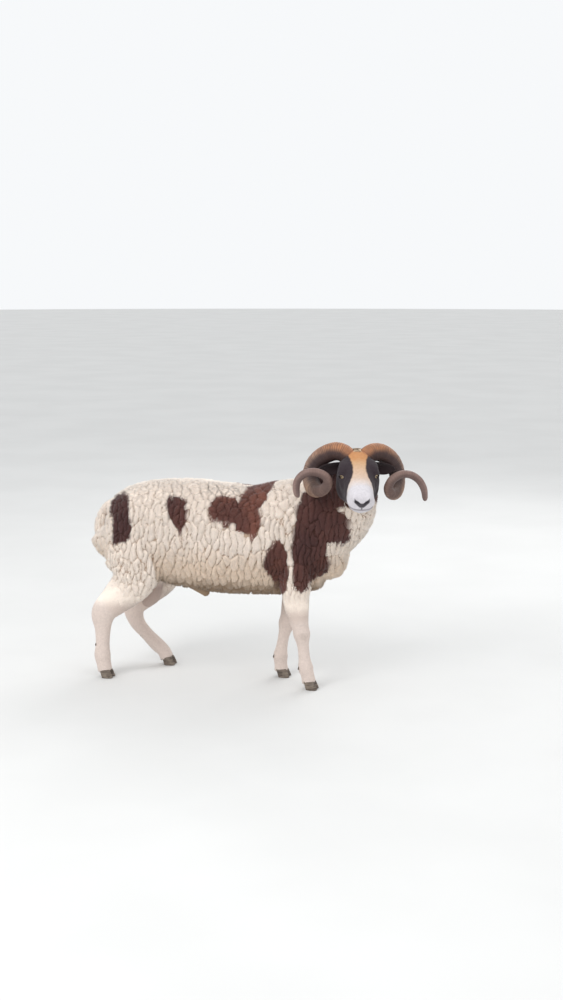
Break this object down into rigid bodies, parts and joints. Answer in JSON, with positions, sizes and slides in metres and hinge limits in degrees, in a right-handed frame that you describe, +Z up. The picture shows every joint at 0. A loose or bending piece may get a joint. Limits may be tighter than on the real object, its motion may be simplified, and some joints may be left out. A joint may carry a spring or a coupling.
{
  "type": "jacob sheep",
  "caption": "Standing two-horned piebald ram, life size and still, with its head turned to its right and curled horns, resting on its hooves.",
  "frame": {"origin": "on the floor under the middle of the whole outline", "axes": "+X from tail to chest, +Y to the ram's left, +Z up"},
  "size_m": [1.204, 0.494, 0.863],
  "materials": {
    "cream_fleece": "matte curly fleece",
    "white_hair": "short flat hair",
    "dark_face": "short dark hair",
    "horn": "ringed dull horn",
    "eye": "wet and clear",
    "hoof": "worn dull hoof",
    "bare_skin": "thinly haired skin"
  },
  "bodies": {
    "root": {"ear_left": "dark_face", "ear_right": "dark_face", "eye_left": "eye", "eye_right": "eye", "foreleg_left_lower": "white_hair", "foreleg_left_upper": "cream_fleece", "foreleg_right_lower": "white_hair", "foreleg_right_upper": "cream_fleece", "head": "dark_face", "hindleg_left_lower": "white_hair", "hindleg_left_upper": "cream_fleece", "hindleg_right_lower": "white_hair", "hindleg_right_upper": "cream_fleece", "hoof_fore_left_inner": "hoof", "hoof_fore_left_outer": "hoof", "hoof_fore_right_inner": "hoof", "hoof_fore_right_outer": "hoof", "hoof_hind_left_inner": "hoof", "hoof_hind_left_outer": "hoof", "hoof_hind_right_inner": "hoof", "hoof_hind_right_outer": "hoof", "horn_left": "horn", "horn_right": "horn", "neck": "cream_fleece", "scrotum": "bare_skin", "tail": "cream_fleece", "torso": "cream_fleece"}
  },
  "joints": []
}
